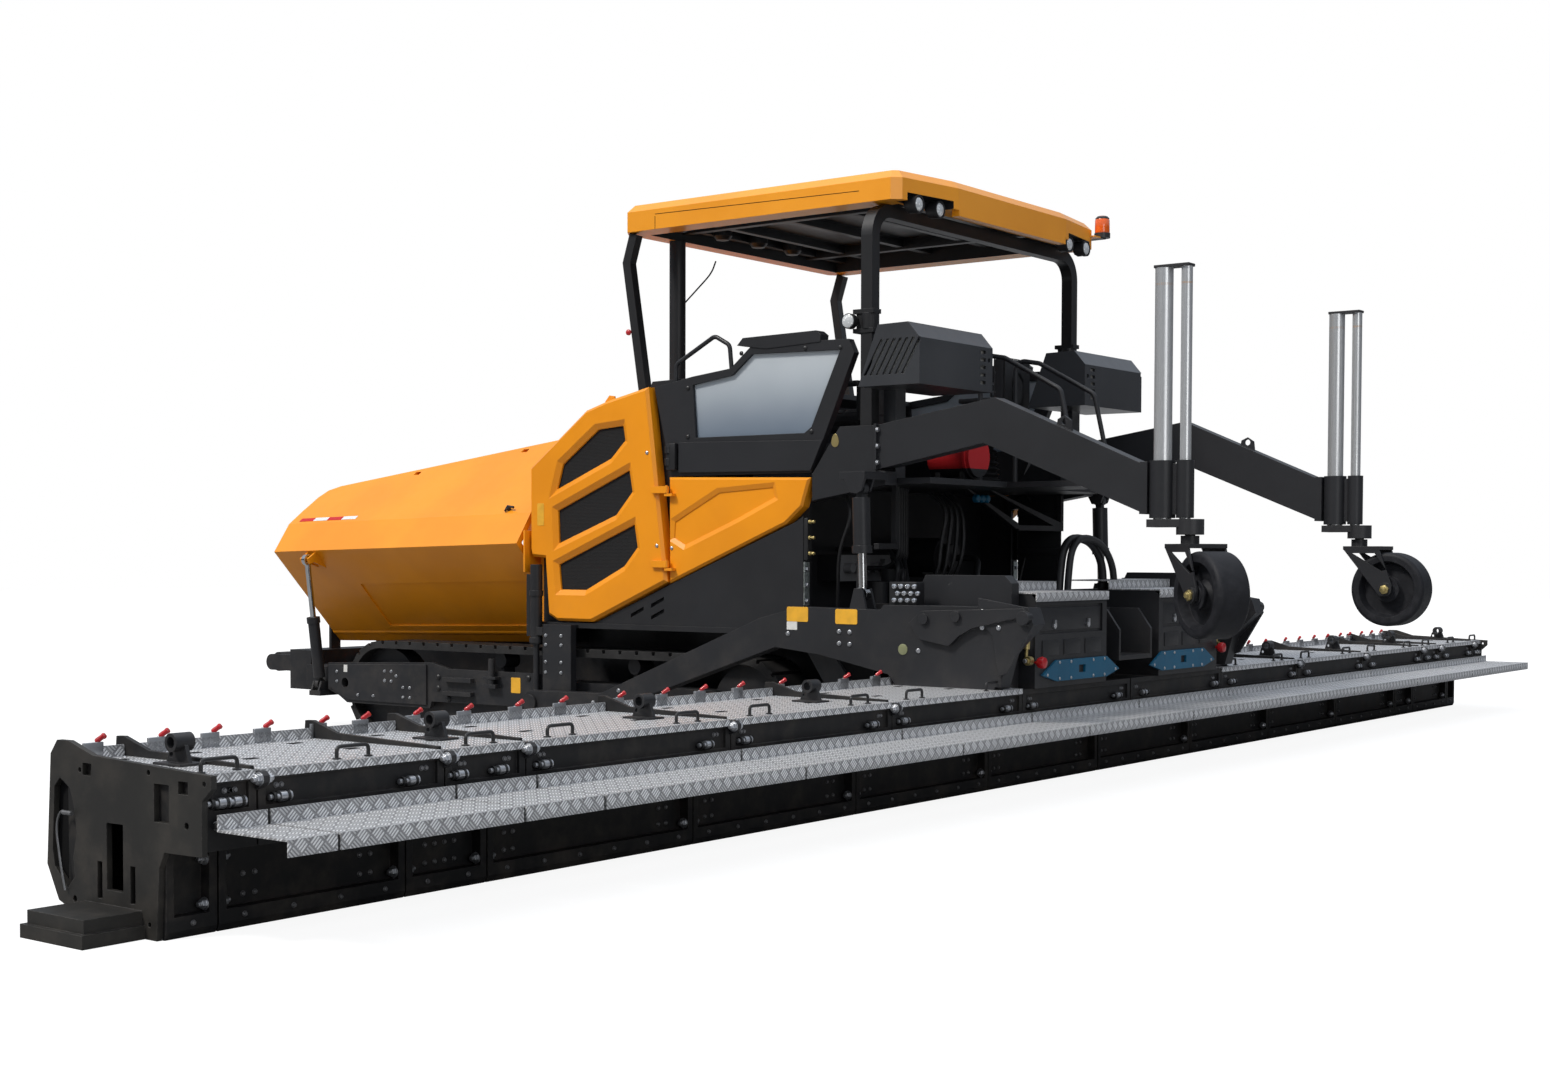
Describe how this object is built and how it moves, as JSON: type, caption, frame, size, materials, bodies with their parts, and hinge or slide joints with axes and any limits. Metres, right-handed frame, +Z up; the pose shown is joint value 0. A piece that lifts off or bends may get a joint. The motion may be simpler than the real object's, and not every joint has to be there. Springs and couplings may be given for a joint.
{
  "type": "tracked asphalt paver with wide screed",
  "caption": "Tracked asphalt paver: folding hopper, conveyors, augers, roofed operator station, wide fixed screed with walkways and rear support wheels.",
  "frame": {"origin": "middle of the machine's box on the ground", "axes": "+X forward, +Y left along the screed, +Z up"},
  "size_m": [9.417, 16.112, 4.173],
  "materials": {
    "yellow_paint": "semi-gloss orange-yellow paint",
    "charcoal_paint": "satin charcoal paint",
    "black_steel": "satin black paint, worn at the edges",
    "chrome": "hard chrome",
    "tread_plate": "five-bar tread plate, mill finish",
    "blue_paint": "gloss blue paint",
    "track_steel": "dark rolled and cast steel",
    "solid_tyre": "solid rubber",
    "clear_glass": "frosted side window",
    "seat_cover": "black vinyl",
    "dark_plastic": "moulded plastic"
  },
  "bodies": {
    "tractor": {"hull_floor": "charcoal_paint", "hull_sides": "charcoal_paint", "conveyor": "track_steel", "fender_deck": "charcoal_paint", "push_beam": "charcoal_paint", "track_left": "track_steel", "track_right": "track_steel", "track_frames": "charcoal_paint", "auger_hangers": "charcoal_paint", "hood": "yellow_paint", "dash_cowl": "charcoal_paint", "body_frame": "charcoal_paint", "engine": "track_steel", "side_walls": "charcoal_paint", "rear_panels": "yellow_paint", "floor_plate": "charcoal_paint", "window_frames": "charcoal_paint", "side_windows": "clear_glass", "towers": "charcoal_paint", "seats": "seat_cover", "console": "dark_plastic", "rear_boxes": "charcoal_paint", "hydraulics": "charcoal_paint", "rear_beams": "charcoal_paint", "canopy_roof": "yellow_paint", "canopy_posts": "charcoal_paint", "exhaust": "charcoal_paint", "tow_guides": "charcoal_paint"},
    "screed": {"basic_screed": "black_steel", "lifting_stands": "charcoal_paint", "screed_covers": "charcoal_paint", "lock_plates": "blue_paint", "extensions": "black_steel", "top_plates": "tread_plate", "end_plates": "black_steel", "tow_arms": "charcoal_paint"},
    "wing_left": {"wing_left": "yellow_paint"},
    "wing_right": {"wing_right": "yellow_paint"},
    "wing_barrel_left": {"wing_barrel_left": "charcoal_paint"},
    "wing_barrel_right": {"wing_barrel_right": "charcoal_paint"},
    "wing_rod_left": {"wing_rod_left": "chrome"},
    "wing_rod_right": {"wing_rod_right": "chrome"},
    "lift_barrel_left": {"lift_barrel_left": "charcoal_paint"},
    "lift_barrel_right": {"lift_barrel_right": "charcoal_paint"},
    "lift_rod_left": {"lift_rod_left": "chrome"},
    "lift_rod_right": {"lift_rod_right": "chrome"},
    "walkway_left": {"walkway_left": "tread_plate"},
    "walkway_right": {"walkway_right": "tread_plate"},
    "post_left": {"post_left": "chrome"},
    "post_right": {"post_right": "chrome"},
    "fork_left": {"fork_left": "charcoal_paint"},
    "fork_right": {"fork_right": "charcoal_paint"},
    "wheel_left": {"wheel_left": "solid_tyre"},
    "wheel_right": {"wheel_right": "solid_tyre"},
    "auger_left": {"auger_left": "track_steel"},
    "auger_right": {"auger_right": "track_steel"},
    "push_roller_left": {"push_roller_left": "track_steel"},
    "push_roller_right": {"push_roller_right": "track_steel"},
    "side_door_left": {"side_door_left": "yellow_paint"},
    "side_door_right": {"side_door_right": "yellow_paint"}
  },
  "joints": [
    {"name": "screed_lift", "type": "hinge", "parent": "tractor", "child": "screed", "pos_m": [0.9835, 0, 0.4], "axis": [0, 1, 0], "range_deg": [0, 4]},
    {"name": "wing_left_fold", "type": "hinge", "parent": "tractor", "child": "wing_left", "pos_m": [2.6535, 0.925, 0.88124], "axis": [0.9997, 0, -0.024], "range_deg": [-36, 0]},
    {"name": "wing_barrel_left_swing", "type": "hinge", "parent": "tractor", "child": "wing_barrel_left", "pos_m": [3.6935, 1.5, 0.412], "axis": [1, 0, 0], "range_deg": [-26.01, 0]},
    {"name": "wing_rod_left_stroke", "type": "slide", "parent": "wing_barrel_left", "child": "wing_rod_left", "axis": [0, 0.1245, 0.9922], "range_m": [-0.42862, 0]},
    {"name": "lift_barrel_left_swing", "type": "hinge", "parent": "tractor", "child": "lift_barrel_left", "pos_m": [-1.9765, 1.685, 1.96], "axis": [0, 1, 0], "range_deg": [-6.53, 0]},
    {"name": "lift_rod_left_stroke", "type": "slide", "parent": "lift_barrel_left", "child": "lift_rod_left", "axis": [-0.0286, 0, -0.9996], "range_m": [-0.2048, 0]},
    {"name": "walkway_left_fold", "type": "hinge", "parent": "screed", "child": "walkway_left", "pos_m": [-3.1385, 3, 0.474], "axis": [0, 1, 0], "range_deg": [0, 56]},
    {"name": "post_left_lower", "type": "slide", "parent": "tractor", "child": "post_left", "axis": [0, 0, -1], "range_m": [0, 1]},
    {"name": "fork_left_swivel", "type": "hinge", "parent": "post_left", "child": "fork_left", "pos_m": [-4.2065, 1.41, 1.592], "axis": [0, 0, 1], "continuous": true},
    {"name": "wheel_left_spin", "type": "hinge", "parent": "fork_left", "child": "wheel_left", "pos_m": [-4.40778, 1.54071, 1.285], "axis": [0.5446, 0.8387, 0], "continuous": true},
    {"name": "auger_left_spin", "type": "hinge", "parent": "tractor", "child": "auger_left", "pos_m": [-1.7865, 0.75, 0.43], "axis": [0, 1, 0], "continuous": true},
    {"name": "push_roller_left_spin", "type": "hinge", "parent": "tractor", "child": "push_roller_left", "pos_m": [4.6235, 0.65, 0.56], "axis": [0, 1, 0], "continuous": true},
    {"name": "side_door_left_open", "type": "hinge", "parent": "tractor", "child": "side_door_left", "pos_m": [-0.1565, 1.524, 1.7], "axis": [0, 0, 1], "range_deg": [0, 75]},
    {"name": "wing_right_fold", "type": "hinge", "parent": "tractor", "child": "wing_right", "pos_m": [2.6535, -0.925, 0.88124], "axis": [-0.9997, 0, 0.024], "range_deg": [-36, 0]},
    {"name": "wing_barrel_right_swing", "type": "hinge", "parent": "tractor", "child": "wing_barrel_right", "pos_m": [3.6935, -1.5, 0.412], "axis": [-1, 0, 0], "range_deg": [-26.01, 0]},
    {"name": "wing_rod_right_stroke", "type": "slide", "parent": "wing_barrel_right", "child": "wing_rod_right", "axis": [0, -0.1245, 0.9922], "range_m": [-0.42862, 0]},
    {"name": "lift_barrel_right_swing", "type": "hinge", "parent": "tractor", "child": "lift_barrel_right", "pos_m": [-1.9765, -1.685, 1.96], "axis": [0, 1, 0], "range_deg": [-6.53, 0]},
    {"name": "lift_rod_right_stroke", "type": "slide", "parent": "lift_barrel_right", "child": "lift_rod_right", "axis": [-0.0286, 0, -0.9996], "range_m": [-0.2048, 0]},
    {"name": "walkway_right_fold", "type": "hinge", "parent": "screed", "child": "walkway_right", "pos_m": [-3.1385, -3, 0.474], "axis": [0, 1, 0], "range_deg": [0, 56]},
    {"name": "post_right_lower", "type": "slide", "parent": "tractor", "child": "post_right", "axis": [0, 0, -1], "range_m": [0, 1]},
    {"name": "fork_right_swivel", "type": "hinge", "parent": "post_right", "child": "fork_right", "pos_m": [-4.2065, -1.41, 1.592], "axis": [0, 0, 1], "continuous": true},
    {"name": "wheel_right_spin", "type": "hinge", "parent": "fork_right", "child": "wheel_right", "pos_m": [-4.4465, -1.41, 1.285], "axis": [0, 1, 0], "continuous": true},
    {"name": "auger_right_spin", "type": "hinge", "parent": "tractor", "child": "auger_right", "pos_m": [-1.7865, -0.75, 0.43], "axis": [0, 1, 0], "continuous": true},
    {"name": "push_roller_right_spin", "type": "hinge", "parent": "tractor", "child": "push_roller_right", "pos_m": [4.6235, -0.65, 0.56], "axis": [0, 1, 0], "continuous": true},
    {"name": "side_door_right_open", "type": "hinge", "parent": "tractor", "child": "side_door_right", "pos_m": [-0.1565, -1.524, 1.7], "axis": [0, 0, -1], "range_deg": [0, 75]}
  ],
  "couplings": [
    {"joint": "wing_barrel_left_swing", "follows": "wing_left_fold", "ratio": 0.72237},
    {"joint": "wing_rod_left_stroke", "follows": "wing_left_fold", "m_per_rad": 0.68218},
    {"joint": "lift_barrel_left_swing", "follows": "screed_lift", "ratio": -1.6334},
    {"joint": "lift_rod_left_stroke", "follows": "screed_lift", "m_per_rad": -2.9336},
    {"joint": "wing_barrel_right_swing", "follows": "wing_right_fold", "ratio": 0.72237},
    {"joint": "wing_rod_right_stroke", "follows": "wing_right_fold", "m_per_rad": 0.68218},
    {"joint": "lift_barrel_right_swing", "follows": "screed_lift", "ratio": -1.6334},
    {"joint": "lift_rod_right_stroke", "follows": "screed_lift", "m_per_rad": -2.9336}
  ]
}
